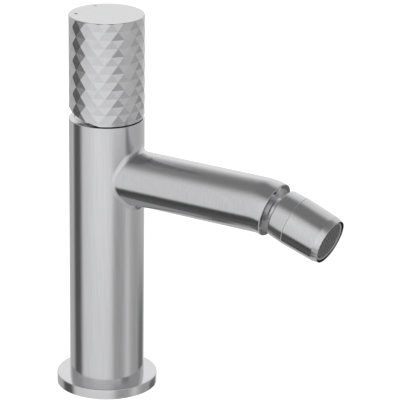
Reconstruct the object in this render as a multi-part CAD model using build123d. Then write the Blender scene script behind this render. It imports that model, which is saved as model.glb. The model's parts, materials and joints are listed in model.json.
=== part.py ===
from build123d import *
import os
from math import cos, hypot, radians, sin, sqrt

# Bidet mixer. Millimetres and degrees.
# The origin is on the column axis at the underside of the base, Z is up and the spout points along X.

# Column and base
base_overhang = 6.5
base_thickness = 5.0
base_edge_round = 0.35
base_lip = 1.0
column_radius = 18.5
column_top = 139.2
column_bore_radius = 15.0
column_seat_depth = 1.5
rim_edge_round = 0.3
base_seal_margin = 1.6
base_seal_width = 2.4
base_seal_depth = 1.6

# Spout
spout_drop = 27.9
spout_radius = 13.5
spout_bore_radius = 9.3
spout_straight = 87.9
spout_bend_radius = 20.0
spout_bend_angle = 15.3
spout_end_straight = 2.0
spout_root_fillet = 3.0
spout_end_round = 0.5

# Fixing insert in the foot of the column
insert_setback = 0.5
insert_height = 12.0
hose_slot_length = 22.0
hose_slot_width = 11.0
hose_slot_offset = 4.0
stud_hole_radius = 4.0
stud_hole_offset = 9.0

# Cartridge holder
holder_bore_radius = 16.0
holder_height = 53.0
holder_setback = 2.2
cartridge_depth = 33.0
holder_waist_radius = 14.2
lower_land = 10.5
upper_land = 12.0
seal_groove_width = 2.2
seal_groove_depth = 1.25
lower_seal_margin = 5.25
upper_seal_margin = 5.5
inlet_thread_radius = 4.0
inlet_thread_depth = 9.0
inlet_channel_radius = 2.5
inlet_spacing = 13.0
inlet_offset = 3.0
outlet_channel_radius = 3.2
outlet_offset = 6.0
outlet_drop = 5.5
slip_clearance = 0.05

# Cartridge
cartridge_radius = 12.5
cartridge_clearance = 0.1
cartridge_wall = 1.1
cartridge_height = 23.5
cartridge_roof = 1.5
cartridge_base_height = 2.4
port_seal_groove_depth = 1.0
port_seal_wall = 1.3
disc_height = 2.4
moving_disc_radius = 8.8
carrier_height = 4.2
carrier_half_width = 7.4
neck_radius = 9.4
neck_bore_radius = 8.0
neck_height = 3.5
rotor_clearance = 0.06
nut_radius = 13.5
nut_height = 7.0
nut_slot_width = 3.0
nut_slot_depth = 1.8
nut_slot_count = 6

# Lever
pivot_depth = 5.5
lever_radius = 4.0
lever_arm_length = 8.0
lever_arm_radius = 2.2
lever_ball_radius = 2.6
lever_square = 7.0
lever_square_margin = 1.0
lever_half_width = 4.0
lever_slot_half_length = 7.4
pin_radius = 1.25
pin_end_margin = 0.6
pivot_clearance = 0.04
pocket_clearance = 0.06
tilt_limit = 15.0

# Dome over the cartridge
dome_shoulder = 1.985
dome_wall = 1.0
dome_opening_radius = 10.2
dome_skirt_wall = 1.35

# Knob
knob_gap = 0.45
knob_height = 51.55
knob_plate = 4.0
knob_bore_radius = 15.7
knob_band_height = 1.6
knob_band_step = 0.8
knob_edge_break = 0.35
facet_count = 18
facet_rows = 12
facet_trim = 0.1
facet_turn = 10.5
knob_relief_start = 6.5
knob_relief_angle = 15.0
knob_insert_clearance = 1.7
knob_insert_height = 17.0
grub_radius = 2.0
grub_length = 9.5
grub_hole_radius = 2.3
grub_socket_width = 2.0
grub_socket_depth = 2.5
index_radius = 0.9
index_depth = 0.6
index_circle_radius = 14.8
index_angle = 145.8

# Ball joint between spout and nozzle
ball_distance = 10.0
ball_radius = 8.8
ball_front = 6.5
ball_bore_radius = 4.2
ball_neck_radius = 5.8
stem_radius = 11.2
stem_length = 8.0
stem_seal_height = 1.2
liner_clearance = 0.03
liner_wall = 1.0
liner_rear = 3.5
liner_front = 0.6
ball_seal_radius = 0.88
ball_seal_angle = 62.0
ball_seal_clearance = 0.02

# Nozzle
nozzle_rest_angle = 4.0
nozzle_rear = 6.5
nozzle_rear_radius = 12.0
nozzle_rear_round = 1.0
nozzle_seam = 2.2
nozzle_seam_radius = 12.35
nozzle_seam_break = 0.2
nozzle_front = 21.9
nozzle_front_radius = 11.9
nozzle_lip_width = 0.75
nozzle_lip_length = 3.5
collar_opening_radius = 7.8
collar_skirt_length = 2.5
collar_skirt_radius = 11.7
collar_thread_radius = 11.0
collar_thread_length = 3.3
collar_thread_gap = 0.05
nozzle_bore_radius = 9.0
outlet_bore_radius = 10.9
outlet_bore_depth = 10.4

# Aerator
aerator_gasket_height = 1.4
aerator_gasket_inner_radius = 8.6
aerator_clearance = 0.05
aerator_recess = 1.6
aerator_bore_radius = 8.8
diffuser_height = 1.4
diffuser_setback = 1.1
diffuser_hole_radius = 0.7
diffuser_hole_circle = 5.6
diffuser_hole_count = 12
outlet_ring_outer_radius = 10.1
outlet_ring_inner_radius = 9.2
outlet_ring_height = 1.1
outlet_ring_skirt = 3.3
outlet_ring_skirt_wall = 0.8
screen_thickness = 0.35
screen_wire = 0.35
screen_pitch = 1.6

# Overrun of every cut
overrun = 1.0

# Places worked out from the sizes above
column_bottom = base_thickness - column_seat_depth
base_radius = column_radius + base_overhang
base_bore_radius = column_bore_radius - base_lip
base_seal_outer_radius = base_radius - base_seal_margin
base_seal_inner_radius = base_seal_outer_radius - base_seal_width
insert_bottom = column_bottom + insert_setback
spout_height = column_top - spout_drop
holder_top = column_top - holder_setback
holder_bottom = holder_top - holder_height
cartridge_seat = holder_top - cartridge_depth
cartridge_top = cartridge_seat + cartridge_height
neck_top = cartridge_top + neck_height
nut_top = cartridge_top + nut_height
outlet_height = cartridge_seat - outlet_drop
pivot_height = cartridge_top - pivot_depth
knob_bottom = column_top + knob_gap
knob_top = knob_bottom + knob_height
dome_skirt_radius = holder_bore_radius - slip_clearance
dome_radius = hypot(dome_skirt_radius, holder_top + dome_shoulder - pivot_height)
knob_insert_bottom = pivot_height + dome_radius + knob_insert_clearance
knob_insert_top = knob_insert_bottom + knob_insert_height
grub_height = (knob_insert_bottom + knob_insert_top) / 2
lever_square_bottom = knob_insert_bottom + lever_square_margin
lever_top = knob_insert_top - lever_square_margin
spout_end_x = (
    spout_straight
    + spout_bend_radius * sin(radians(spout_bend_angle))
    + spout_end_straight * cos(radians(spout_bend_angle))
)
spout_end_z = (
    spout_height
    - spout_bend_radius * (1 - cos(radians(spout_bend_angle)))
    - spout_end_straight * sin(radians(spout_bend_angle))
)
ball_x = spout_end_x + ball_distance * cos(radians(spout_bend_angle))
ball_z = spout_end_z - ball_distance * sin(radians(spout_bend_angle))
disc_floor = cartridge_seat + cartridge_base_height
moving_disc_floor = disc_floor + disc_height
carrier_floor = moving_disc_floor + disc_height
rotor_skirt_bottom = carrier_floor + pivot_clearance
rotor_floor = carrier_floor + carrier_height + pivot_clearance
rotor_top = cartridge_top - cartridge_roof - pivot_clearance
cartridge_bore_radius = cartridge_radius - cartridge_wall
rotor_radius = cartridge_bore_radius - rotor_clearance
facet_top = knob_top + facet_trim
facet_row_height = (facet_top - knob_bottom - knob_band_height) / facet_rows
nozzle_angle = spout_bend_angle + nozzle_rest_angle
housing_rear = nozzle_seam - collar_skirt_length
liner_inner_radius = ball_radius + liner_clearance
liner_outer_radius = liner_inner_radius + liner_wall
socket_radius = liner_outer_radius + liner_clearance

# Frames along the end of the spout and along the nozzle: their Z is the way the water flows
spout_frame = Plane(
    origin=(ball_x, 0, ball_z),
    x_dir=(0, 1, 0),
    z_dir=(cos(radians(spout_bend_angle)), 0, -sin(radians(spout_bend_angle))),
)
nozzle_frame = Plane(
    origin=(ball_x, 0, ball_z),
    x_dir=(0, 1, 0),
    z_dir=(cos(radians(nozzle_angle)), 0, -sin(radians(nozzle_angle))),
)


def rod(radius, bottom, top):
    """Round bar on the Z axis between two heights."""
    return extrude(Plane.XY.offset(bottom) * Circle(radius), top - bottom)


def tube(outer, inner, bottom, top):
    """Round tube on the Z axis between two heights."""
    return rod(outer, bottom, top) - rod(inner, bottom - overrun, top + overrun)


def block(half_x, half_y, bottom, top):
    """Rectangular bar on the Z axis between two heights."""
    return extrude(Plane.XY.offset(bottom) * Rectangle(2 * half_x, 2 * half_y), top - bottom)


def turned(points):
    """Solid turned about the Z axis from its outline of radius and height."""
    outline = Plane.XZ * Polygon(*points, align=None)
    return revolve(outline, Axis.Z)


def o_ring(ring_radius, wire_radius, height):
    """Round-section ring about the Z axis."""
    return Pos(0, 0, height) * Torus(ring_radius, wire_radius)


def sphere_at(radius, height=0):
    return Pos(0, 0, height) * Sphere(radius)


def slot_bar(length, width, bottom, top):
    """Bar with round ends whose length lies along Y."""
    return extrude(Plane.XY.offset(bottom) * SlotOverall(length, width, rotation=90), top - bottom)


def spout_path():
    """Centre line of the spout, from the column axis to its end face."""
    start = (0, 0, spout_height)
    bend_start = (spout_straight, 0, spout_height)
    angle = radians(spout_bend_angle)
    bend_end = (
        spout_straight + spout_bend_radius * sin(angle),
        0,
        spout_height - spout_bend_radius * (1 - cos(angle)),
    )
    middle = (
        spout_straight + spout_bend_radius * sin(angle / 2),
        0,
        spout_height - spout_bend_radius * (1 - cos(angle / 2)),
    )
    end = (spout_end_x, 0, spout_end_z)
    return Wire([Line(start, bend_start), ThreePointArc(bend_start, middle, bend_end), Line(bend_end, end)])


def spout_bar(radius):
    section = Plane(origin=(0, 0, spout_height), x_dir=(0, 1, 0), z_dir=(1, 0, 0)) * Circle(radius)
    return sweep(section, path=spout_path())


def base_flange():
    flange = rod(base_radius, 0, base_thickness)
    flange = fillet(flange.edges().group_by(Axis.Z)[-1], base_edge_round)
    seat = rod(column_radius, column_bottom, base_thickness + overrun)
    groove = tube(base_seal_outer_radius, base_seal_inner_radius, -overrun, base_seal_depth)
    return flange - seat - rod(base_bore_radius, -overrun, base_thickness) - groove


def base_seal():
    return tube(base_seal_outer_radius, base_seal_inner_radius, 0, base_seal_depth)


def column():
    pipe = rod(column_radius, column_bottom, column_top)
    pipe = fillet(pipe.edges().group_by(Axis.Z)[-1], rim_edge_round)
    pipe -= rod(column_bore_radius, column_bottom - overrun, holder_bottom + overrun)
    pipe -= rod(holder_bore_radius, holder_bottom, column_top + overrun)
    return pipe - spout_bar(spout_bore_radius)


def spout():
    """Bent pipe cut to the column's round, with the filled corner of its joint."""
    core = rod(column_radius, column_bottom, column_top)
    arm = spout_bar(spout_radius)
    arm = fillet(arm.edges().sort_by(Axis.X)[-1], spout_end_round)
    joined = core + arm
    root_edges = [
        edge
        for edge in joined.edges()
        if abs((edge @ 0.5).Z - spout_height) < 2 * spout_radius
        and abs(Vector((edge @ 0.5).X, (edge @ 0.5).Y).length - column_radius) < spout_root_fillet
        and edge.geom_type != GeomType.LINE
    ]
    pipe = fillet(root_edges, spout_root_fillet) - core - spout_bar(spout_bore_radius)
    socket = rod(stem_radius, -ball_distance - stem_length - stem_seal_height, overrun - ball_distance)
    return pipe - spout_frame * socket


def fixing_insert():
    top = insert_bottom + insert_height
    insert = rod(column_bore_radius, insert_bottom, top)
    slot = slot_bar(hose_slot_length, hose_slot_width, insert_bottom - overrun, top + overrun)
    stud_hole = rod(stud_hole_radius, insert_bottom - overrun, top + overrun)
    return insert - Pos(-hose_slot_offset, 0, 0) * slot - Pos(stud_hole_offset, 0, 0) * stud_hole


def inlet_places():
    return [(-inlet_offset, side * inlet_spacing / 2) for side in (-1, 1)]


def holder_seal_heights():
    return holder_bottom + lower_seal_margin, holder_top - upper_seal_margin


def cartridge_holder():
    radius = holder_bore_radius - slip_clearance
    holder = rod(radius, holder_bottom, holder_top)
    waist_bottom = holder_bottom + lower_land
    holder -= tube(radius + overrun, holder_waist_radius, waist_bottom, holder_top - upper_land)
    for height in holder_seal_heights():
        low = height - seal_groove_width / 2
        high = height + seal_groove_width / 2
        holder -= tube(radius + overrun, holder_bore_radius - seal_groove_depth, low, high)
    holder -= rod(cartridge_radius + cartridge_clearance, cartridge_seat, holder_top + overrun)
    holder -= rod(nut_radius, cartridge_top, holder_top + overrun)
    for x, y in inlet_places():
        thread = rod(inlet_thread_radius, holder_bottom - overrun, holder_bottom + inlet_thread_depth)
        channel = rod(inlet_channel_radius, holder_bottom, cartridge_seat + overrun)
        holder -= Pos(x, y, 0) * (thread + channel)
    drop = rod(outlet_channel_radius, outlet_height, cartridge_seat + overrun)
    cross = Rot(0, 90, 0) * rod(outlet_channel_radius, 0, holder_bore_radius - outlet_offset)
    elbow = sphere_at(outlet_channel_radius, outlet_height)
    outlet = drop + elbow + Pos(0, 0, outlet_height) * cross
    return holder - Pos(outlet_offset, 0, 0) * outlet


def holder_seals():
    wire = seal_groove_depth / 2
    ring_radius = holder_bore_radius - wire
    return Compound([o_ring(ring_radius, wire, height) for height in holder_seal_heights()])


def port_rings(bottom, top):
    """Rings about the two inlets and the outlet under the cartridge."""
    rings = [
        Pos(x, y, 0) * tube(inlet_channel_radius + port_seal_wall, inlet_channel_radius, bottom, top)
        for x, y in inlet_places()
    ]
    outlet = tube(outlet_channel_radius + port_seal_wall, outlet_channel_radius, bottom, top)
    return rings + [Pos(outlet_offset, 0, 0) * outlet]


def port_seals():
    return Compound(port_rings(cartridge_seat, cartridge_seat + port_seal_groove_depth))


def ported(disc, bottom, top):
    """A disc with the two inlets and the outlet through it."""
    for x, y in inlet_places():
        disc -= Pos(x, y, 0) * rod(inlet_channel_radius, bottom - overrun, top + overrun)
    return disc - Pos(outlet_offset, 0, 0) * rod(outlet_channel_radius, bottom - overrun, top + overrun)


def cartridge_base():
    base = ported(rod(cartridge_radius, cartridge_seat, disc_floor), cartridge_seat, disc_floor)
    for ring in port_rings(cartridge_seat - overrun, cartridge_seat + port_seal_groove_depth):
        base -= ring
    return base


def fixed_disc():
    disc = rod(cartridge_bore_radius - slip_clearance, disc_floor, moving_disc_floor)
    return ported(disc, disc_floor, moving_disc_floor)


def moving_disc():
    disc = rod(moving_disc_radius, moving_disc_floor, carrier_floor)
    chamber = slot_bar(inlet_spacing - inlet_channel_radius, 2 * inlet_channel_radius, 0, disc_height / 2)
    return disc - Pos(inlet_offset, 0, moving_disc_floor) * chamber


def disc_carrier():
    top = carrier_floor + carrier_height
    disc = rod(moving_disc_radius, carrier_floor, top)
    disc &= block(moving_disc_radius, carrier_half_width, carrier_floor, top)
    return disc - rod(lever_ball_radius + pocket_clearance, carrier_floor, top + overrun)


def cartridge_housing():
    housing = rod(cartridge_radius, disc_floor, cartridge_top) + rod(neck_radius, cartridge_top, neck_top)
    housing -= rod(cartridge_bore_radius, disc_floor - overrun, cartridge_top - cartridge_roof)
    return housing - rod(neck_bore_radius, disc_floor, neck_top + overrun)


def lever_rotor():
    rotor = rod(rotor_radius, rotor_floor, rotor_top)
    rotor -= block(lever_slot_half_length, lever_half_width + slip_clearance, 0, rotor_top + overrun)
    channel = block(rotor_radius + overrun, carrier_half_width + slip_clearance, 0, rotor_floor)
    skirt = rod(rotor_radius, rotor_skirt_bottom, rotor_floor) - channel
    return rotor + skirt - pin_bar(pin_radius)


def pin_bar(radius):
    reach = rotor_radius - pin_end_margin
    return Pos(0, 0, pivot_height) * (Rot(90, 0, 0) * rod(radius, -reach, reach))


def lever_pin():
    return pin_bar(pin_radius)


def lever():
    shaft = rod(lever_radius, pivot_height, lever_square_bottom)
    square = block(lever_square / 2, lever_square / 2, lever_square_bottom, lever_top)
    hub = Rot(90, 0, 0) * rod(lever_radius, -lever_half_width, lever_half_width)
    arm = rod(lever_arm_radius, pivot_height - lever_arm_length, pivot_height)
    ball = sphere_at(lever_ball_radius, pivot_height - lever_arm_length)
    stem = shaft + square + Pos(0, 0, pivot_height) * hub + arm + ball
    return stem - pin_bar(pin_radius + pivot_clearance)


def cartridge_nut():
    nut = tube(nut_radius, neck_radius + cartridge_clearance, cartridge_top, nut_top)
    for place in PolarLocations(nut_radius, nut_slot_count):
        notch = block(nut_slot_depth, nut_slot_width / 2, nut_top - nut_slot_depth, nut_top + overrun)
        nut -= place * notch
    return nut


def dome_cover():
    outer = rod(dome_skirt_radius, holder_top, pivot_height + dome_radius)
    outer &= sphere_at(dome_radius, pivot_height)
    inner = rod(holder_bore_radius - dome_skirt_wall, 0, pivot_height + dome_radius)
    inner &= sphere_at(dome_radius - dome_wall, pivot_height)
    return outer - inner - rod(dome_opening_radius, 0, pivot_height + dome_radius + overrun)


def facet_ring(row, height):
    """Corners of one ring of facets; every other ring is turned by half a facet."""
    turn = 360 / facet_count
    start = facet_turn + turn / 2 * (row % 2)
    return [
        Vector(
            column_radius * cos(radians(start + turn * step)),
            column_radius * sin(radians(start + turn * step)),
            height,
        )
        for step in range(facet_count)
    ]


def corner_face(*corners):
    return Face(Wire.make_polygon(corners, close=True))


def facet_block():
    """Solid wrapped in flat triangles, with a plain straight band under the last ring."""
    rings = [facet_ring(row, facet_top - row * facet_row_height) for row in range(facet_rows + 1)]
    faces = [corner_face(*rings[0])]
    for row in range(facet_rows):
        upper, lower = rings[row], rings[row + 1]
        for step in range(facet_count):
            following = (step + 1) % facet_count
            if row % 2 == 0:
                faces.append(corner_face(upper[step], lower[step], upper[following]))
                faces.append(corner_face(lower[step], lower[following], upper[following]))
            else:
                faces.append(corner_face(upper[step], lower[following], upper[following]))
                faces.append(corner_face(upper[step], lower[step], lower[following]))
    foot = facet_ring(facet_rows, knob_bottom)
    for step in range(facet_count):
        following = (step + 1) % facet_count
        last = rings[-1]
        faces.append(corner_face(last[step], foot[step], foot[following], last[following]))
    faces.append(corner_face(*foot))
    return Solid(Shell(faces))


def relief_wedge():
    """What is cut away under the back of the knob, so that it can lean back."""
    reach = base_radius
    rise = (knob_relief_start + reach) * sin(radians(knob_relief_angle)) / cos(radians(knob_relief_angle))
    outline = Plane.XZ * Polygon(
        (knob_relief_start, knob_bottom),
        (-reach, knob_bottom + rise),
        (-reach, knob_bottom - overrun),
        (knob_relief_start, knob_bottom - overrun),
        align=None,
    )
    return extrude(outline, reach, both=True)


def knob_envelope():
    """Turned outline that trims the top of the faceted block and sets its plain foot back."""
    foot_radius = column_radius - knob_band_step
    foot_top = knob_bottom + knob_band_height
    return turned(
        [
            (0, knob_bottom),
            (foot_radius, knob_bottom),
            (foot_radius, foot_top),
            (column_radius, foot_top),
            (column_radius, knob_top - knob_edge_break),
            (column_radius - knob_edge_break, knob_top),
            (0, knob_top),
        ]
    )


def index_places():
    return [Rot(0, 0, side * index_angle) * Pos(index_circle_radius, 0, 0) for side in (-1, 1)]


def grub_bar(radius, inner_end, outer_end):
    """Bar that runs out through the back of the knob."""
    return Pos(0, 0, grub_height) * (Rot(0, -90, 0) * rod(radius, inner_end, outer_end))


def knob_shell():
    shell = facet_block() & knob_envelope()
    shell -= rod(knob_bore_radius, knob_bottom - overrun, knob_top - knob_plate)
    shell -= relief_wedge()
    shell -= grub_bar(grub_hole_radius, knob_bore_radius - overrun, column_radius + overrun)
    for place in index_places():
        shell -= place * rod(index_radius, knob_top - index_depth, knob_top + overrun)
    return shell


def knob_insert():
    insert = rod(knob_bore_radius, knob_insert_bottom, knob_insert_top)
    half = lever_square / 2 + slip_clearance
    insert -= block(half, half, lever_square_bottom, knob_insert_top + overrun)
    insert -= rod(lever_radius + slip_clearance, knob_insert_bottom - overrun, lever_square_bottom)
    return insert - grub_bar(grub_radius, 0, knob_bore_radius + overrun)


def grub_screw():
    inner_end = lever_square / 2
    outer_end = inner_end + grub_length
    socket = extrude(
        Plane.XY.offset(outer_end - grub_socket_depth) * RegularPolygon(grub_socket_width / 2, 6),
        grub_socket_depth + overrun,
    )
    return grub_bar(grub_radius, inner_end, outer_end) - Pos(0, 0, grub_height) * (Rot(0, -90, 0) * socket)


def index_pin(side):
    return index_places()[side] * rod(index_radius, knob_top - index_depth, knob_top)


def ball_stem():
    thread = rod(stem_radius, -ball_distance - stem_length, -ball_distance)
    neck = rod(ball_neck_radius, -ball_distance, 0)
    ball = Sphere(ball_radius) - rod(ball_radius, ball_front, ball_radius + overrun)
    bore = rod(ball_bore_radius, -ball_distance - stem_length - overrun, ball_radius)
    return spout_frame * (thread + neck + ball - bore)


def stem_seal():
    bottom = -ball_distance - stem_length - stem_seal_height
    return spout_frame * tube(stem_radius, spout_bore_radius, bottom, -ball_distance - stem_length)


def ball_liner():
    zone = rod(liner_outer_radius, -liner_rear, liner_front)
    return spout_frame * ((Sphere(liner_outer_radius) & zone) - Sphere(liner_inner_radius))


def ball_seal_place():
    """Radius and height of the centre circle of the ring that seals the ball."""
    distance = ball_radius + ball_seal_radius + ball_seal_clearance
    angle = radians(ball_seal_angle)
    return distance * sin(angle), distance * cos(angle)


def ball_seal():
    ring_radius, height = ball_seal_place()
    return nozzle_frame * o_ring(ring_radius, ball_seal_radius, height)


def nozzle_collar():
    skin = turned(
        [
            (0, -nozzle_rear),
            (nozzle_rear_radius, -nozzle_rear),
            (nozzle_seam_radius, nozzle_seam - nozzle_seam_break),
            (nozzle_seam_radius - nozzle_seam_break, nozzle_seam),
            (0, nozzle_seam),
        ]
    )
    skin = fillet(skin.edges().group_by(Axis.Z)[0], nozzle_rear_round)
    skin -= rod(collar_skirt_radius, housing_rear, nozzle_seam + overrun)
    spigot_top = housing_rear + collar_thread_length
    collar = skin + rod(collar_thread_radius, housing_rear - overrun, spigot_top)
    collar -= Sphere(socket_radius)
    collar -= rod(socket_radius, 0, spigot_top + overrun)
    return nozzle_frame * (collar - rod(collar_opening_radius, -nozzle_rear - overrun, 0))


def nozzle_housing():
    housing = turned(
        [
            (0, housing_rear),
            (collar_skirt_radius, housing_rear),
            (collar_skirt_radius, nozzle_seam),
            (nozzle_seam_radius - nozzle_seam_break, nozzle_seam),
            (nozzle_seam_radius, nozzle_seam + nozzle_seam_break),
            (nozzle_front_radius, nozzle_front - nozzle_lip_length),
            (nozzle_front_radius - nozzle_lip_width, nozzle_front),
            (0, nozzle_front),
        ]
    )
    thread_end = housing_rear + collar_thread_length + collar_thread_gap
    housing -= rod(collar_thread_radius, housing_rear - overrun, thread_end)
    housing -= rod(nozzle_bore_radius, housing_rear - overrun, nozzle_front + overrun)
    housing -= rod(outlet_bore_radius, nozzle_front - outlet_bore_depth, nozzle_front + overrun)
    ring_radius, height = ball_seal_place()
    groove_radius = ring_radius + ball_seal_radius + ball_seal_clearance
    groove = rod(groove_radius, height - ball_seal_radius, height + ball_seal_radius)
    return nozzle_frame * (housing - groove)


gasket_floor = nozzle_front - outlet_bore_depth
aerator_floor = gasket_floor + aerator_gasket_height
aerator_top = nozzle_front - aerator_recess


def aerator_gasket():
    radius = outlet_bore_radius - aerator_clearance
    return nozzle_frame * tube(radius, aerator_gasket_inner_radius, gasket_floor, aerator_floor)


def aerator_body():
    radius = outlet_bore_radius - aerator_clearance
    return nozzle_frame * tube(radius, aerator_bore_radius, aerator_floor, aerator_top)


def aerator_diffuser():
    bottom = aerator_floor + diffuser_setback
    plate = rod(aerator_bore_radius, bottom, bottom + diffuser_height)
    for place in PolarLocations(diffuser_hole_circle, diffuser_hole_count):
        plate -= place * rod(diffuser_hole_radius, bottom - overrun, bottom + diffuser_height + overrun)
    return nozzle_frame * plate


def aerator_ring():
    skirt_radius = aerator_bore_radius - outlet_ring_skirt_wall
    ring = tube(outlet_ring_outer_radius, outlet_ring_inner_radius, aerator_top, aerator_top + outlet_ring_height)
    skirt = tube(aerator_bore_radius, skirt_radius, aerator_top - outlet_ring_skirt, aerator_top)
    web = tube(outlet_ring_outer_radius, skirt_radius, aerator_top, aerator_top + screen_thickness)
    return nozzle_frame * (ring + skirt + web)


def aerator_screen():
    bottom = aerator_top + screen_thickness
    radius = outlet_ring_inner_radius - slip_clearance
    sheet = Circle(radius)
    hole = screen_pitch - screen_wire
    rows = int(radius / screen_pitch)
    holes = []
    for column in range(-rows, rows + 1):
        for row in range(-rows, rows + 1):
            x = column * screen_pitch
            y = row * screen_pitch
            if sqrt(x * x + y * y) + hole < radius:
                holes.append(Pos(x, y) * Rectangle(hole, hole))
    sheet -= Sketch() + holes
    return nozzle_frame * extrude(Plane.XY.offset(bottom) * sheet, screen_thickness)


parts = {
    "base_flange": base_flange(),
    "base_seal": base_seal(),
    "fixing_insert": fixing_insert(),
    "column": column(),
    "spout": spout(),
    "cartridge_holder": cartridge_holder(),
    "holder_seals": holder_seals(),
    "port_seals": port_seals(),
    "cartridge_base": cartridge_base(),
    "fixed_disc": fixed_disc(),
    "moving_disc": moving_disc(),
    "disc_carrier": disc_carrier(),
    "cartridge_housing": cartridge_housing(),
    "lever_rotor": lever_rotor(),
    "lever_pin": lever_pin(),
    "lever": lever(),
    "cartridge_nut": cartridge_nut(),
    "dome_cover": dome_cover(),
    "knob_shell": knob_shell(),
    "knob_insert": knob_insert(),
    "grub_screw": grub_screw(),
    "hot_index": index_pin(0),
    "cold_index": index_pin(1),
    "ball_stem": ball_stem(),
    "stem_seal": stem_seal(),
    "ball_liner": ball_liner(),
    "ball_seal": ball_seal(),
    "nozzle_collar": nozzle_collar(),
    "nozzle_housing": nozzle_housing(),
    "aerator_gasket": aerator_gasket(),
    "aerator_body": aerator_body(),
    "aerator_diffuser": aerator_diffuser(),
    "aerator_screen": aerator_screen(),
    "aerator_ring": aerator_ring(),
}

os.makedirs("parts", exist_ok=True)
for name, solid in parts.items():
    export_step(solid, "parts/" + name + ".step")
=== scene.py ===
import json
from math import asin, atan2, cos, degrees, pi, radians, sin

import bmesh
import bpy
from mathutils import Matrix, Vector


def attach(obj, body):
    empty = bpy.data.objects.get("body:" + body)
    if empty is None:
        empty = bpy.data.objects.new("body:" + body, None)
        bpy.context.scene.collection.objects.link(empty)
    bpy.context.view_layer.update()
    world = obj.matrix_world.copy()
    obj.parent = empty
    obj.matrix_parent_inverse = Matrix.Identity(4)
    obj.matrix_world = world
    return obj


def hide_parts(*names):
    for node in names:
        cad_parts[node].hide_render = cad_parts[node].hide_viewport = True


# Bidet mixer in brushed steel. Sizes are in millimetres, and MM turns them to metres.
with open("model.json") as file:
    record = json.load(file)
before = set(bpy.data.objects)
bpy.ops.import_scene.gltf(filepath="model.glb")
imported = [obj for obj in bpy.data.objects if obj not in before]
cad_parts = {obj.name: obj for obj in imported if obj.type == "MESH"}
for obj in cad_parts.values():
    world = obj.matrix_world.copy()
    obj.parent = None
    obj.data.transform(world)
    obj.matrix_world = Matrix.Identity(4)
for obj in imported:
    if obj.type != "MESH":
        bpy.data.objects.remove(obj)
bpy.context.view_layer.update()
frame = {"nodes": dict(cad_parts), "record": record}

MM = 0.001

# Base and column
base_radius = 25.0
base_thickness = 5.0
base_bore_radius = 14.0
base_round = 0.35
column_radius = 18.5
column_bottom = 3.5
column_top = 139.2
column_bore_radius = 15.0
holder_bore_radius = 16.0
holder_bottom = 84.0
rim_round = 0.3

# Spout
spout_height = 111.3
spout_radius = 13.5
spout_straight = 87.9
spout_bend_radius = 20.0
spout_bend_angle = radians(15.3)
spout_end_straight = 2.0
spout_end_round = 0.5
spout_fillet = 3.0
spout_bore_radius = 9.3
spout_socket_depth = 6.0
spout_ring_places = (24, 40, 60, 80)
spout_bore_places = (60, 24)

# Dome under the knob
dome_radius = 23.3
dome_centre = 122.0
dome_opening_radius = 10.2
dome_skirt_radius = 15.95
dome_skirt_bottom = 137.0
dome_rim_drop = 1.0

# Knob with its dots
knob_bottom = 139.65
knob_top = 191.2
knob_bore_radius = 15.7
knob_plate = 4.0
knob_band_height = 1.6
knob_band_step = 0.8
knob_edge_break = 0.35
facet_count = 18
facet_rows = 12
facet_trim = 0.1
facet_turn = radians(10.5)
facet_edge_width = 0.05
facet_edge_angle = radians(4)
relief_start = 6.5
relief_angle = radians(15)
relief_block_size = 80.0
grub_hole_radius = 2.3
grub_height = 155.5
index_radius = 0.9
index_depth = 0.6
index_circle = 14.8
index_angle = radians(145.8)
bore_overrun = 2.0
pocket_overrun = 1.0

# Ball stem
stem_radius = 11.2
stem_plug_length = 4.0
ball_distance = 10.0
ball_radius = 8.8
ball_front = 6.5
ball_neck_radius = 5.8
ball_neck_flare = 0.4
ball_bore_radius = 4.2

# Nozzle, along its own axis from the ball's centre
nozzle_angle = radians(19.3)
nozzle_rear = 6.5
nozzle_rear_radius = 12.0
nozzle_rear_round = 1.0
nozzle_seam = 2.2
nozzle_seam_radius = 12.35
nozzle_seam_break = 0.2
nozzle_front = 21.9
nozzle_front_radius = 11.9
nozzle_lip_width = 0.75
nozzle_lip_length = 3.5
nozzle_lip_ease = 3.0
nozzle_lip_round = 0.25
collar_opening_radius = 7.8
collar_opening_break = 0.3
collar_seat_radius = 9.9
collar_seat_start = -1.5
collar_skirt_radius = 11.7
housing_rear = -0.3

# Outlet
outlet_bore_radius = 10.9
aerator_recess = 1.6
aerator_length = 8.0
aerator_gap = 0.05
aerator_edge_break = 0.15
aerator_bore_radius = 8.8
outlet_ring_outer_radius = 10.1
outlet_ring_inner_radius = 9.2
outlet_ring_height = 1.1
outlet_ring_break = 0.2
mesh_height = 0.525
mesh_pitch = 1.5
mesh_wire = 0.3
mesh_gap = 0.05
weave_share = 0.35

# How finely the pieces are made
round_steps = 96
pipe_steps = 192
spout_steps = 144
dome_steps = 160
nozzle_steps = 144
outlet_steps = 120
knob_bore_steps = 120
envelope_steps = 240
grub_hole_steps = 48
index_steps = 40
wire_sides = 6
edge_arc_steps = 6
ball_arc_steps = 16
dome_arc_steps = 12
fillet_steps = 8
bend_steps = 8
smooth_angle = radians(35)
merge_distance = 0.02
knob_merge_distance = 0.001

# Finishes
grain_scale = 900.0
grain_detail = 4.0
brush_detail = 6.0
brush_contrast = 0.65
pattern_low = 0.3
pattern_high = 0.7
grain_relief = 0.0001
brush_relief = 0.00005

# Studio: lengths in metres, greys as shares of white
tent_radius = 15.0
floor_size = 12.0
floor_grey = 0.8
floor_roughness = 0.9
floor_glow = 0.75
room_grey = 0.6

# Camera, from the fit to the photograph
camera_distance = 1215.2
camera_height = 538.7
camera_azimuth = radians(33.6)
camera_yaw = radians(2.16)
camera_pitch = radians(20.002)
camera_roll = radians(0.688)
camera_lens = 236.4
camera_film_width = 36.0


# Helpers for modelling


def clear_selection():
    if bpy.context.object and bpy.context.object.mode != "OBJECT":
        bpy.ops.object.mode_set(mode="OBJECT")
    bpy.ops.object.select_all(action="DESELECT")


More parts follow.
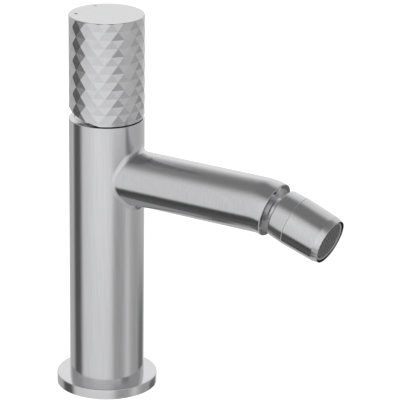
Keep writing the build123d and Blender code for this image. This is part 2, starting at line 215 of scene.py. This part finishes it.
def pick(piece):
    clear_selection()
    piece.select_set(True)
    bpy.context.view_layer.objects.active = piece


def place_in_mesh(piece):
    """Applies the object's place, so that the finished piece sits at the origin, unturned and unscaled."""
    pick(piece)
    bpy.ops.object.transform_apply(location=True, rotation=True, scale=True)
    return piece


def tidy_mesh(piece, distance=merge_distance):
    pick(piece)
    bpy.ops.object.mode_set(mode="EDIT")
    bpy.ops.mesh.select_all(action="SELECT")
    bpy.ops.mesh.remove_doubles(threshold=distance * MM)
    bpy.ops.mesh.normals_make_consistent(inside=False)
    bpy.ops.object.mode_set(mode="OBJECT")
    return piece


def smooth(piece):
    pick(piece)
    bpy.ops.object.shade_smooth_by_angle(angle=smooth_angle)
    return piece


def apply_all(piece):
    pick(piece)
    for modifier in list(piece.modifiers):
        bpy.ops.object.modifier_apply(modifier=modifier.name)
    return piece


def cut(piece, tool, operation="DIFFERENCE"):
    """Takes the tool's solid from the piece, or keeps only what lies within it, and drops the tool."""
    change = piece.modifiers.new("cut", "BOOLEAN")
    change.operation = operation
    change.solver = "EXACT"
    change.object = tool
    apply_all(piece)
    clear_selection()
    bpy.data.objects.remove(tool, do_unlink=True)
    return piece


def round_bar(name, radius, bottom, top, steps):
    clear_selection()
    bpy.ops.mesh.primitive_cylinder_add(
        vertices=steps,
        radius=radius * MM,
        depth=(top - bottom) * MM,
        location=(0, 0, (bottom + top) / 2 * MM),
    )
    piece = bpy.context.object
    piece.name = name
    return place_in_mesh(piece)


def arc(centre_x, centre_z, radius, start, end, steps=edge_arc_steps):
    """Points of radius and height on an arc, angles in degrees."""
    return [
        (
            centre_x + radius * cos(radians(start + (end - start) * step / steps)),
            centre_z + radius * sin(radians(start + (end - start) * step / steps)),
        )
        for step in range(steps + 1)
    ]


def spun(name, outline, steps=round_steps):
    """Turned piece: an outline of radius and height, extruded point by point and spun about the Z axis."""
    clear_selection()
    bpy.ops.mesh.primitive_plane_add(size=MM, location=(0, 0, 0))
    piece = bpy.context.object
    piece.name = name
    bpy.ops.object.mode_set(mode="EDIT")
    bpy.ops.mesh.select_all(action="SELECT")
    bpy.ops.mesh.merge(type="CENTER")
    first = outline[0]
    bpy.ops.transform.translate(value=(first[0] * MM, 0, first[1] * MM))
    for before, after in zip(outline, outline[1:]):
        step = ((after[0] - before[0]) * MM, 0, (after[1] - before[1]) * MM)
        bpy.ops.mesh.extrude_region_move(TRANSFORM_OT_translate={"value": step})
    bpy.ops.mesh.select_all(action="SELECT")
    bpy.ops.mesh.spin(steps=steps, angle=2 * pi, center=(0, 0, 0), axis=(0, 0, 1), use_auto_merge=True)
    bpy.ops.object.mode_set(mode="OBJECT")
    return smooth(tidy_mesh(place_in_mesh(piece)))


def put(piece, matrix):
    piece.matrix_world = matrix @ piece.matrix_world
    return place_in_mesh(piece)


def ball_centre():
    """Centre of the ball, straight on from the end of the bent spout."""
    end_x = spout_straight + spout_bend_radius * sin(spout_bend_angle)
    end_x += spout_end_straight * cos(spout_bend_angle)
    drop = spout_bend_radius * (1 - cos(spout_bend_angle)) + spout_end_straight * sin(spout_bend_angle)
    x = end_x + ball_distance * cos(spout_bend_angle)
    z = spout_height - drop - ball_distance * sin(spout_bend_angle)
    return Vector((x, 0, z)) * MM


def along_axis(angle):
    """Place of the ball's centre, with Z turned to run down along the water's way."""
    return Matrix.Translation(ball_centre()) @ Matrix.Rotation(pi / 2 + angle, 4, "Y")


# Materials


def new_material(name):
    material = bpy.data.materials.new(name)
    material.use_nodes = True
    nodes = material.node_tree.nodes
    links = material.node_tree.links
    return material, nodes, links, nodes["Principled BSDF"]


def vary(nodes, links, shader, pattern, shades, roughness_span, pattern_span):
    """Lets a pattern run the colour between two shades, and the roughness over a span."""
    tint = nodes.new("ShaderNodeValToRGB")
    stops = tint.color_ramp.elements
    for stop, position, shade in zip(stops, (pattern_low, pattern_high), shades):
        stop.position = position
        stop.color = [min(1.0, part) for part in shade] + [1]
    links.new(pattern, tint.inputs["Fac"])
    links.new(tint.outputs["Color"], shader.inputs["Base Color"])
    spread = nodes.new("ShaderNodeMapRange")
    spread.inputs["From Min"].default_value, spread.inputs["From Max"].default_value = pattern_span
    spread.inputs["To Min"].default_value, spread.inputs["To Max"].default_value = roughness_span
    links.new(pattern, spread.inputs["Value"])
    links.new(spread.outputs["Result"], shader.inputs["Roughness"])


def raise_pattern(nodes, links, shader, pattern, strength, distance):
    relief = nodes.new("ShaderNodeBump")
    relief.inputs["Strength"].default_value = strength
    relief.inputs["Distance"].default_value = distance
    links.new(pattern, relief.inputs["Height"])
    links.new(relief.outputs["Normal"], shader.inputs["Normal"])


def shade_of(colour, share):
    return [share * part for part in colour]


def plain(name, colour, roughness, metallic=0.0, bump=0.0, gloss=0.5):
    """Even finish with a fine grain."""
    material, nodes, links, shader = new_material(name)
    shader.inputs["Metallic"].default_value = metallic
    shader.inputs["Specular IOR Level"].default_value = gloss
    coordinates = nodes.new("ShaderNodeTexCoord")
    grain = nodes.new("ShaderNodeTexNoise")
    grain.inputs["Scale"].default_value = grain_scale
    grain.inputs["Detail"].default_value = grain_detail
    links.new(coordinates.outputs["Object"], grain.inputs["Vector"])
    shades = (shade_of(colour, 0.9), colour)
    vary(nodes, links, shader, grain.outputs["Fac"], shades, (roughness * 0.9, roughness * 1.1), (0, 1))
    if bump:
        raise_pattern(nodes, links, shader, grain.outputs["Fac"], bump, grain_relief)
    return material


def brushed(name, colour, roughness, stretch, depth, streak, turn=(0, 0, 0)):
    """Steel with fine brush lines. stretch sets how fine they are along each axis, after the turn."""
    material, nodes, links, shader = new_material(name)
    shader.inputs["Metallic"].default_value = 1.0
    coordinates = nodes.new("ShaderNodeTexCoord")
    turned = nodes.new("ShaderNodeMapping")
    turned.vector_type = "TEXTURE"
    turned.inputs["Rotation"].default_value = turn
    links.new(coordinates.outputs["Object"], turned.inputs["Vector"])
    lines = nodes.new("ShaderNodeMapping")
    lines.inputs["Scale"].default_value = stretch
    links.new(turned.outputs["Vector"], lines.inputs["Vector"])
    fine = nodes.new("ShaderNodeTexNoise")
    fine.inputs["Scale"].default_value = 1.0
    fine.inputs["Detail"].default_value = brush_detail
    fine.inputs["Roughness"].default_value = brush_contrast
    links.new(lines.outputs["Vector"], fine.inputs["Vector"])
    shades = (shade_of(colour, 1 - streak), shade_of(colour, 1 + streak))
    span = (roughness * 0.8, roughness * 1.2)
    vary(nodes, links, shader, fine.outputs["Fac"], shades, span, (pattern_low, pattern_high))
    raise_pattern(nodes, links, shader, fine.outputs["Fac"], depth, brush_relief)
    return material


steel_grey = (0.62, 0.62, 0.63)
knob_grey = (0.64, 0.64, 0.65)
knob_brush_turn = (0.7, 0.4, 0)
stem_steel = brushed("stem_steel", (0.8, 0.8, 0.81), 0.34, (900, 900, 900), depth=0.05, streak=0.04)
base_steel = brushed("base_steel", steel_grey, 0.1, (900, 900, 900), depth=0.02, streak=0.02)
plated_brass = plain("plated_brass", (0.45, 0.45, 0.46), 0.35, metallic=1.0, bump=0.1)
finishes = {
    "brushed_steel": brushed("column_steel", steel_grey, 0.16, (1300, 1300, 50), depth=0.05, streak=0.05),
    "knob_steel": brushed(
        "knob_steel", knob_grey, 0.2, (1800, 1800, 120), depth=0.05, streak=0.05, turn=knob_brush_turn
    ),
    "polished_steel": brushed(
        "polished_steel", (0.68, 0.68, 0.69), 0.08, (400, 400, 400), depth=0.03, streak=0.04
    ),
    "brass": plain("turned_brass", (0.66, 0.47, 0.20), 0.3, metallic=1.0, bump=0.1),
    "ceramic": plain("lapped_ceramic", (0.86, 0.85, 0.82), 0.2),
    "cartridge_plastic": plain("cartridge_plastic", (0.75, 0.75, 0.73), 0.45, bump=0.1),
    "plain_steel": plain("ground_steel", (0.5, 0.5, 0.52), 0.3, metallic=1.0, bump=0.1),
    "seal_rubber": plain("seal_rubber", (0.03, 0.03, 0.03), 0.6, bump=0.2),
    "liner_plastic": plain("liner_plastic", (0.86, 0.86, 0.84), 0.35, bump=0.05),
    "aerator_plastic": plain("aerator_plastic", (0.02, 0.02, 0.02), 0.5, bump=0.1, gloss=0.1),
    "outlet_ring_steel": plain("outlet_ring_steel", (0.66, 0.66, 0.67), 0.35, metallic=1.0, bump=0.1),
    "screen_wire": plain("screen_wire", (0.42, 0.42, 0.43), 0.35, metallic=1.0, bump=0.1),
    "hot_enamel": plain("hot_enamel", (0.14, 0.14, 0.15), 0.4),
    "cold_enamel": plain("cold_enamel", (0.72, 0.73, 0.75), 0.4),
}


def finish_solid(node, finish):
    """Finish of a solid that shows as it is."""
    metal = frame["nodes"][node].data.materials
    metal.clear()
    metal.append(finish)


node_slots = {entry["node"]: entry["material_slot"] for entry in frame["record"]["subparts"]}
for node, slot in node_slots.items():
    finish_solid(node, finishes[slot])
finish_solid("knob_insert", plated_brass)


def instead_of(piece, *nodes, finish=None):
    """The dressed piece takes the nodes' place on their body, in their finish or a finer one."""
    bodies = frame["record"]["behaviour"]["bodies"]
    owner = next(body for body, held in bodies.items() if nodes[0] in held)
    slot = node_slots[nodes[0]]
    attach(piece, owner)
    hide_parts(*nodes)
    piece.data.materials.clear()
    piece.data.materials.append(finish or finishes[slot])
    return piece


# Base, column and spout


def make_base():
    top = base_thickness
    outline = [(base_bore_radius, 0), (base_radius, 0)]
    outline += arc(base_radius - base_round, top - base_round, base_round, 0, 90)
    outline += [(column_radius, top), (column_radius, column_bottom)]
    outline += [(base_bore_radius, column_bottom), (base_bore_radius, 0)]
    return instead_of(spun("base_ring", outline, pipe_steps), "base_flange", finish=base_steel)


def make_column():
    """Plain pipe with a rounded rim; its bore holds the cartridge holder."""
    outline = [(column_bore_radius, column_bottom), (column_radius, column_bottom)]
    outline += arc(column_radius - rim_round, column_top - rim_round, rim_round, 0, 90)
    outline += [(holder_bore_radius, column_top), (holder_bore_radius, holder_bottom)]
    outline += [(column_bore_radius, holder_bottom), (column_bore_radius, column_bottom)]
    return instead_of(spun("column_pipe", outline, pipe_steps), "column")


def ring_skin(name, rings):
    """Skin through rings of points: a circle is extruded for each next ring and laid on its points."""
    clear_selection()
    bpy.ops.mesh.primitive_circle_add(vertices=len(rings[0]), radius=MM)
    piece = bpy.context.object
    piece.name = name
    bpy.ops.object.mode_set(mode="EDIT")
    bpy.ops.mesh.select_all(action="SELECT")
    for number, ring in enumerate(rings):
        if number:
            bpy.ops.mesh.extrude_region_move()
        mesh = bmesh.from_edit_mesh(piece.data)
        chosen = [vertex for vertex in mesh.verts if vertex.select]
        for vertex, point in zip(sorted(chosen, key=lambda vertex: vertex.index), ring):
            vertex.co = Vector(point) * MM
        bmesh.update_edit_mesh(piece.data)
    bpy.ops.object.mode_set(mode="OBJECT")
    return piece


def root_ring():
    """Edge of the spout's bore where it leaves the column's outside."""
    ring = []
    for number in range(spout_steps):
        turn = 2 * pi * number / spout_steps
        y = spout_bore_radius * sin(turn)
        z = spout_height + spout_bore_radius * cos(turn)
        ring.append(((column_radius**2 - y * y) ** 0.5, y, z))
    return ring


def fillet_point(turn, sweep):
    """Point on the filled corner of column and spout, on a ball that rolls round the joint."""
    reach = column_radius + spout_fillet
    y = (spout_radius + spout_fillet) * sin(turn)
    z = (spout_radius + spout_fillet) * cos(turn)
    centre = Vector(((reach * reach - y * y) ** 0.5, y, z))
    to_column = Vector((-centre.x, -centre.y, 0)).normalized()
    to_spout = Vector((0, -sin(turn), -cos(turn)))
    full = to_column.angle(to_spout)
    first = sin((1 - sweep) * full) / sin(full)
    second = sin(sweep * full) / sin(full)
    return centre + (to_column * first + to_spout * second) * spout_fillet + Vector((0, 0, spout_height))


def fillet_ring(sweep):
    return [fillet_point(2 * pi * number / spout_steps, sweep) for number in range(spout_steps)]


def pipe_ring(along, radius):
    """Ring of the spout at a length along its centre line, from the column's axis."""
    bend_length = spout_bend_radius * spout_bend_angle
    bent = min(max(along - spout_straight, 0), bend_length) / spout_bend_radius
    straight = min(along, spout_straight)
    rest = max(along - spout_straight - bend_length, 0)
    x = straight + spout_bend_radius * sin(bent) + rest * cos(bent)
    z = spout_height - spout_bend_radius * (1 - cos(bent)) - rest * sin(bent)
    ring = []
    for number in range(spout_steps):
        turn = 2 * pi * number / spout_steps
        outward = radius * cos(turn)
        ring.append((x + outward * sin(bent), radius * sin(turn), z + outward * cos(bent)))
    return ring


def make_spout():
    """Bent pipe that leaves the column through a small filled corner and ends in a socket."""
    bend_length = spout_bend_radius * spout_bend_angle
    end = spout_straight + bend_length + spout_end_straight
    rings = [root_ring()]
    rings += [fillet_ring(step / fillet_steps) for step in range(fillet_steps + 1)]
    stops = [*spout_ring_places, spout_straight]
    stops += [spout_straight + bend_length * step / bend_steps for step in range(1, bend_steps + 1)]
    rings += [pipe_ring(stop, spout_radius) for stop in stops]
    for step in range(edge_arc_steps + 1):
        sweep = radians(90) * step / edge_arc_steps
        along = end - spout_end_round * (1 - sin(sweep))
        rings.append(pipe_ring(along, spout_radius - spout_end_round * (1 - cos(sweep))))
    rings.append(pipe_ring(end, stem_radius))
    rings.append(pipe_ring(end - spout_socket_depth, stem_radius))
    rings.append(pipe_ring(end - spout_socket_depth, spout_bore_radius))
    rings += [pipe_ring(stop, spout_bore_radius) for stop in (spout_straight, *spout_bore_places)]
    rings.append(root_ring())
    return instead_of(smooth(tidy_mesh(ring_skin("side_spout", rings))), "spout")


# Dome and knob


def make_dome():
    """Polished dome with a round way for the lever and a skirt inside the column."""
    rim_angle = asin(dome_skirt_radius / dome_radius)
    hole_angle = asin(dome_opening_radius / dome_radius)
    outline = [(dome_skirt_radius, dome_skirt_bottom)]
    for step in range(dome_arc_steps + 1):
        angle = rim_angle + (hole_angle - rim_angle) * step / dome_arc_steps
        outline.append((dome_radius * sin(angle), dome_centre + dome_radius * cos(angle)))
    outline.append((dome_opening_radius, outline[-1][1] - dome_rim_drop))
    return instead_of(spun("lever_dome", outline, dome_steps), "dome_cover")


def facet_block():
    """A ring is extruded downwards row by row, half a facet on at each row, and split in triangles."""
    top = knob_top + facet_trim
    row_height = (top - knob_bottom - knob_band_height) / facet_rows
    clear_selection()
    bpy.ops.mesh.primitive_circle_add(
        vertices=facet_count, radius=column_radius * MM, fill_type="NGON", location=(0, 0, top * MM)
    )
    block = bpy.context.object
    block.name = "faceted_knob"
    bpy.ops.object.mode_set(mode="EDIT")
    bpy.ops.mesh.select_all(action="SELECT")
    for row in range(facet_rows):
        bpy.ops.mesh.extrude_region_move(TRANSFORM_OT_translate={"value": (0, 0, -row_height * MM)})
        bpy.ops.transform.rotate(value=pi / facet_count, orient_axis="Z", center_override=(0, 0, 0))
    bpy.ops.mesh.extrude_region_move(TRANSFORM_OT_translate={"value": (0, 0, -knob_band_height * MM)})
    bpy.ops.mesh.select_all(action="SELECT")
    bpy.ops.mesh.quads_convert_to_tris(quad_method="SHORTEST_DIAGONAL")
    bpy.ops.object.mode_set(mode="OBJECT")
    return place_in_mesh(block)


def turn_to_spout(knob):
    """The top ring has a corner a little past the spout; the circle tool starts its corners towards Y."""
    knob.matrix_world = Matrix.Rotation(pi / 2 + facet_turn, 4, "Z")
    return place_in_mesh(knob)


def break_facet_edges(knob):
    edges = knob.modifiers.new("fine edges", "BEVEL")
    edges.width = facet_edge_width * MM
    edges.segments = 1
    edges.limit_method = "ANGLE"
    edges.angle_limit = facet_edge_angle
    return apply_all(knob)


def knob_envelope():
    """Trims the top of the faceted block and sets its plain foot back."""
    foot_radius = column_radius - knob_band_step
    foot_top = knob_bottom + knob_band_height
    outline = [(0, knob_bottom), (foot_radius, knob_bottom), (foot_radius, foot_top)]
    outline += [(column_radius, foot_top), (column_radius, knob_top - knob_edge_break)]
    outline += [(column_radius - knob_edge_break, knob_top), (0, knob_top)]
    return spun("envelope", outline, envelope_steps)


def relief_block():
    """Wedge under the back of the knob, where it leans when the water is turned on."""
    half = relief_block_size / 2 * MM
    clear_selection()
    bpy.ops.mesh.primitive_cube_add(size=relief_block_size * MM, location=(-half, 0, -half))
    block = place_in_mesh(bpy.context.object)
    edge = Matrix.Translation((relief_start * MM, 0, knob_bottom * MM))
    block.matrix_world = edge @ Matrix.Rotation(relief_angle, 4, "Y")
    return place_in_mesh(block)


def grub_way():
    """Small hole through the back of the knob, to reach the screw that holds it."""
    outer = -column_radius - bore_overrun
    hole = round_bar("grub_way", grub_hole_radius, outer, -knob_bore_radius + bore_overrun, grub_hole_steps)
    hole.matrix_world = Matrix.Translation((0, 0, grub_height * MM)) @ Matrix.Rotation(pi / 2, 4, "Y")
    return place_in_mesh(hole)


def index_bar(name, side, top):
    """Round bar at one of the two dots on the top of the knob."""
    bar = round_bar(name, index_radius, knob_top - index_depth, top, index_steps)
    turn = side * index_angle
    bar.location = (index_circle * cos(turn) * MM, index_circle * sin(turn) * MM, 0)
    return place_in_mesh(bar)


def make_knob():
    """Faceted sleeve, trimmed, bored, relieved at the back and drilled for its screw and its dots."""
    knob = break_facet_edges(tidy_mesh(turn_to_spout(facet_block())))
    cut(knob, knob_envelope(), "INTERSECT")
    bore_bottom = knob_bottom - bore_overrun
    cut(knob, round_bar("bore", knob_bore_radius, bore_bottom, knob_top - knob_plate, knob_bore_steps))
    cut(knob, relief_block())
    cut(knob, grub_way())
    for side in (-1, 1):
        cut(knob, index_bar("pocket", side, knob_top + pocket_overrun))
    return instead_of(tidy_mesh(knob, knob_merge_distance), "knob_shell")


def make_index(side, name, node):
    return instead_of(smooth(tidy_mesh(index_bar(name, side, knob_top))), node)


# Ball stem and nozzle


def make_stem():
    """Screwed plug, thin neck and ball, with the water's way through them."""
    rear = -ball_distance - stem_plug_length
    outline = [(ball_bore_radius, rear), (stem_radius, rear), (stem_radius, -ball_distance)]
    outline.append((ball_neck_radius + ball_neck_flare, -ball_distance))
    outline.append((ball_neck_radius, -ball_distance + ball_neck_flare))
    start = -((ball_radius**2 - ball_neck_radius**2) ** 0.5)
    first = degrees(atan2(start, ball_neck_radius))
    last = degrees(atan2(ball_front, (ball_radius**2 - ball_front**2) ** 0.5))
    outline += arc(0, 0, ball_radius, first, last, ball_arc_steps)
    outline += [(ball_bore_radius, ball_front), (ball_bore_radius, rear)]
    stem = put(spun("ball_stem_turned", outline), along_axis(spout_bend_angle))
    return instead_of(stem, "ball_stem", finish=stem_steel)


def make_collar():
    """Rear part of the nozzle: closed in over the ball, with a fine chamfer at the seam."""
    rear = -nozzle_rear
    mouth = (collar_opening_radius, rear + collar_opening_break)
    outline = [mouth, (collar_opening_radius + collar_opening_break, rear)]
    corner = nozzle_rear_round
    outline += arc(nozzle_rear_radius - corner, rear + corner, corner, -90, 0)
    outline += [
        (nozzle_seam_radius, nozzle_seam - nozzle_seam_break),
        (nozzle_seam_radius - nozzle_seam_break, nozzle_seam),
        (collar_skirt_radius, nozzle_seam),
        (collar_skirt_radius, housing_rear),
        (collar_seat_radius, housing_rear),
        (collar_seat_radius, collar_seat_start),
        mouth,
    ]
    collar = put(spun("collar_turned", outline, nozzle_steps), along_axis(nozzle_angle))
    return instead_of(collar, "nozzle_collar")


def make_housing():
    """Front part of the nozzle with the rounded lip round the outlet."""
    outline = [(outlet_bore_radius, housing_rear), (collar_skirt_radius, housing_rear)]
    outline += [(collar_skirt_radius, nozzle_seam), (nozzle_seam_radius - nozzle_seam_break, nozzle_seam)]
    outline.append((nozzle_seam_radius, nozzle_seam + nozzle_seam_break))
    lip_angle = atan2(nozzle_lip_width, nozzle_lip_length)
    lip_start = nozzle_front - nozzle_lip_length
    for step in range(edge_arc_steps + 1):
        sweep = lip_angle * step / edge_arc_steps
        inward = nozzle_lip_ease * (1 - cos(sweep))
        outline.append((nozzle_front_radius - inward, lip_start + nozzle_lip_ease * sin(sweep)))
    round_radius = nozzle_front_radius - nozzle_lip_width - nozzle_lip_round
    round_height = nozzle_front - nozzle_lip_round
    outline += arc(round_radius, round_height, nozzle_lip_round, degrees(lip_angle), 90)
    outline += [(outlet_bore_radius, nozzle_front), (outlet_bore_radius, housing_rear)]
    housing = put(spun("housing_turned", outline, nozzle_steps), along_axis(nozzle_angle))
    return instead_of(housing, "nozzle_housing")


def make_aerator_cup():
    """Black cup in the outlet, with its outer edge broken."""
    top = nozzle_front - aerator_recess
    floor = top - aerator_length
    radius = outlet_bore_radius - aerator_gap
    outline = [(aerator_bore_radius, floor), (radius, floor), (radius, top - aerator_edge_break)]
    outline += [(radius - aerator_edge_break, top), (aerator_bore_radius, top), (aerator_bore_radius, floor)]
    cup = put(spun("aerator_cup", outline, outlet_steps), along_axis(nozzle_angle))
    return instead_of(cup, "aerator_body")


def make_outlet_ring():
    """Light ring on the cup, round the mesh."""
    inner = outlet_ring_inner_radius
    outer = outlet_ring_outer_radius
    bottom = nozzle_front - aerator_recess
    top = bottom + outlet_ring_height
    outline = [(inner, bottom), (outer, bottom)]
    outline += [(outer, top - outlet_ring_break), (outer - outlet_ring_break, top)]
    outline += [(inner + outlet_ring_break, top), (inner, top - outlet_ring_break), (inner, bottom)]
    ring = put(spun("outlet_ring", outline, outlet_steps), along_axis(nozzle_angle))
    return instead_of(ring, "aerator_ring")


def make_mesh():
    """Woven wire: bars side by side in two directions, each as long as the round lets it be."""
    middle = nozzle_front - aerator_recess + mesh_height
    radius = outlet_ring_inner_radius - mesh_gap
    bars = []
    count = int(radius / mesh_pitch)
    for direction in (0, 1):
        lift = middle + mesh_wire * (weave_share if direction else -weave_share)
        turn = Matrix.Rotation(radians(45) + direction * pi / 2, 4, "Z")
        layer = Matrix.Translation((0, 0, lift * MM)) @ turn
        for number in range(-count, count + 1):
            across = number * mesh_pitch
            length = 2 * (radius * radius - across * across) ** 0.5
            clear_selection()
            bpy.ops.mesh.primitive_cylinder_add(
                vertices=wire_sides, radius=mesh_wire / 2 * MM, depth=length * MM
            )
            bar = bpy.context.object
            aside = Matrix.Translation((0, across * MM, 0))
            bar.matrix_world = layer @ aside @ Matrix.Rotation(pi / 2, 4, "Y")
            bars.append(place_in_mesh(bar))
    clear_selection()
    for bar in bars:
        bar.select_set(True)
    bpy.context.view_layer.objects.active = bars[0]
    bpy.ops.object.join()
    screen = bpy.context.object
    screen.name = "outlet_mesh"
    return instead_of(smooth(put(screen, along_axis(nozzle_angle))), "aerator_screen")


make_base()
make_column()
make_spout()
make_dome()
make_knob()
make_index(-1, "hot_dot", "hot_index")
make_index(1, "cold_dot", "cold_index")
make_stem()
make_collar()
make_housing()
make_aerator_cup()
make_outlet_ring()
make_mesh()


# Floor, light and surroundings


def seen_straight(nodes, links):
    """One for rays of the camera and for mirrored or refracted ones, else nought."""
    rays = nodes.new("ShaderNodeLightPath")
    most = rays.outputs["Is Camera Ray"]
    for kind in ("Is Glossy Ray", "Is Transmission Ray"):
        larger = nodes.new("ShaderNodeMath")
        larger.operation = "MAXIMUM"
        links.new(most, larger.inputs[0])
        links.new(rays.outputs[kind], larger.inputs[1])
        most = larger.outputs[0]
    return most


def choose(nodes, links, otherwise, seen, surface):
    """Rays that see the surroundings straight meet one look, and all other rays the other."""
    choice = nodes.new("ShaderNodeMixShader")
    links.new(seen_straight(nodes, links), choice.inputs["Fac"])
    links.new(otherwise, choice.inputs[1])
    links.new(seen, choice.inputs[2])
    links.new(choice.outputs["Shader"], surface)


def make_floor():
    """Pale floor that keeps the mixer's shadow and is left out of mirrored rays."""
    clear_selection()
    bpy.ops.mesh.primitive_plane_add(size=floor_size, location=(0, 0, 0))
    floor = bpy.context.object
    floor.name = "floor"
    material, nodes, links, shader = new_material("floor_paper")
    shader.inputs["Base Color"].default_value = (floor_grey, floor_grey, floor_grey, 1)
    shader.inputs["Roughness"].default_value = floor_roughness
    shader.inputs["Specular IOR Level"].default_value = 0.0
    glow = nodes.new("ShaderNodeEmission")
    glow.inputs["Strength"].default_value = floor_glow
    both = nodes.new("ShaderNodeAddShader")
    links.new(shader.outputs["BSDF"], both.inputs[0])
    links.new(glow.outputs["Emission"], both.inputs[1])
    surface = nodes["Material Output"].inputs["Surface"]
    choose(nodes, links, shader.outputs["BSDF"], both.outputs["Shader"], surface)
    floor.data.materials.append(material)
    floor.visible_glossy = False


def make_world():
    """White background for the camera and for mirrored rays, and a grey room for all others."""
    world = bpy.data.worlds.new("studio")
    bpy.context.scene.world = world
    world.use_nodes = True
    nodes = world.node_tree.nodes
    room = nodes["Background"]
    room.inputs["Color"].default_value = (room_grey, room_grey, room_grey, 1)
    white = nodes.new("ShaderNodeBackground")
    white.inputs["Color"].default_value = (1, 1, 1, 1)
    surface = nodes["World Output"].inputs["Surface"]
    choose(nodes, world.node_tree.links, room.outputs["Background"], white.outputs["Background"], surface)


# Grey cards of the tent, each laid over those before it. In degrees, with 0 at the camera's side: middle,
# half width, soft side, lower edge, its softness, upper edge, its softness. The last value is the grey.
cards = (
    (-36, 46, 12, -31, 5, 43, 20, 0.84),
    (-22, 32, 22, -31, 5, 46, 20, 0.92),
    (-14, 30, 18, -17, 4, 30, 12, 1.03),
    (24, 28, 16, -12, 1.5, 24, 10, 0.91),
    (150, 22, 10, -10, 16, 60, 16, 0.85),
    (58, 12, 8, -4, 5, 24, 5, 0.36),
    (98, 14, 10, -60, 5, -16, 5, 0.46),
    (36, 15, 8, -30, 5, -12.5, 1.5, 0.46),
    (66, 7, 6, -30, 5, -12, 6, 0.76),
    (130, 17, 8, -58, 2.5, -20.2, 1.5, 0.18),
    (-135, 24, 8, -30, 8, 25, 8, 0.55),
    (-124, 9, 6, -17, 2, 10, 6, 0.70),
    (-100, 42, 8, -61, 5, -33, 4, 0.08),
    (-101, 17, 9, -70, 4, 2, 5, 0.13),
    (-172, 30, 14, 5, 5, 41, 18, 0.92),
    (175, 15, 8, -38, 8, 32, 8, 0.97),
    (178, 20, 8, 19, 5, 30, 6, 1.08),
)
ceiling_start = radians(26)
ceiling_end = radians(66)
wall_grey = 0.60
ceiling_grey = 0.25


def make_tent():
    """Round tent of soft-edged grey cards that the metal mirrors. The camera looks through it."""
    clear_selection()
    bpy.ops.mesh.primitive_uv_sphere_add(segments=64, ring_count=32, radius=tent_radius)
    tent = bpy.context.object
    tent.name = "tent"
    material, nodes, links, shader = new_material("tent_cards")
    nodes.remove(shader)

    def feed(node, socket, value):
        if isinstance(value, bpy.types.NodeSocket):
            links.new(value, node.inputs[socket])
        else:
            node.inputs[socket].default_value = value

    def sum_of(operation, *values):
        node = nodes.new("ShaderNodeMath")
        node.operation = operation
        for socket, value in enumerate(values):
            feed(node, socket, value)
        return node.outputs[0]

    def fade(value, from_low, from_high, to_low, to_high):
        node = nodes.new("ShaderNodeMapRange")
        node.interpolation_type = "SMOOTHSTEP"
        sockets = ("Value", "From Min", "From Max", "To Min", "To Max")
        for socket, amount in zip(sockets, (value, from_low, from_high, to_low, to_high)):
            feed(node, socket, amount)
        return node.outputs[0]

    coordinates = nodes.new("ShaderNodeTexCoord")
    facing = nodes.new("ShaderNodeMapping")
    facing.inputs["Rotation"].default_value = (0, 0, -camera_azimuth)
    facing.inputs["Scale"].default_value = [1 / tent_radius] * 3
    links.new(coordinates.outputs["Object"], facing.inputs["Vector"])
    parts = nodes.new("ShaderNodeSeparateXYZ")
    links.new(facing.outputs["Vector"], parts.inputs["Vector"])
    across = sum_of("ARCTAN2", parts.outputs["X"], sum_of("MULTIPLY", parts.outputs["Y"], -1.0))
    upward = sum_of("ARCSINE", parts.outputs["Z"])

    def panel(below, middle, half, side_fade, low, low_fade, high, high_fade, grey):
        """Lays a soft-edged card of one grey over what is there."""
        aside = sum_of("ABSOLUTE", sum_of("WRAP", sum_of("SUBTRACT", across, radians(middle)), pi, -pi))
        mask = fade(aside, radians(half - side_fade), radians(half + side_fade), 1.0, 0.0)
        above = fade(upward, radians(low - low_fade), radians(low + low_fade), 0.0, 1.0)
        beneath = fade(upward, radians(high - high_fade), radians(high + high_fade), 1.0, 0.0)
        mask = sum_of("MULTIPLY", sum_of("MULTIPLY", mask, above), beneath)
        return sum_of("ADD", below, sum_of("MULTIPLY", mask, sum_of("SUBTRACT", grey, below)))

    light = fade(upward, ceiling_start, ceiling_end, wall_grey, ceiling_grey)
    for card in cards:
        light = panel(light, *card)
    glow = nodes.new("ShaderNodeEmission")
    links.new(light, glow.inputs["Strength"])
    links.new(glow.outputs["Emission"], nodes["Material Output"].inputs["Surface"])
    tent.data.materials.append(material)
    tent.visible_camera = False


def make_camera():
    data = bpy.data.cameras.new("camera")
    camera = bpy.data.objects.new("camera", data)
    bpy.context.scene.collection.objects.link(camera)
    bpy.context.scene.camera = camera
    data.lens = camera_lens
    data.sensor_width = camera_film_width
    camera.location = (
        camera_distance * sin(camera_azimuth) * MM,
        -camera_distance * cos(camera_azimuth) * MM,
        camera_height * MM,
    )
    heading = Matrix.Rotation(camera_azimuth - camera_yaw, 4, "Z")
    tip = Matrix.Rotation(pi / 2 - camera_pitch, 4, "X")
    roll = Matrix.Rotation(camera_roll, 4, "Z")
    camera.rotation_euler = (heading @ tip @ roll).to_euler()


make_floor()
make_world()
make_tent()
make_camera()
bpy.context.scene.view_settings.view_transform = "Standard"
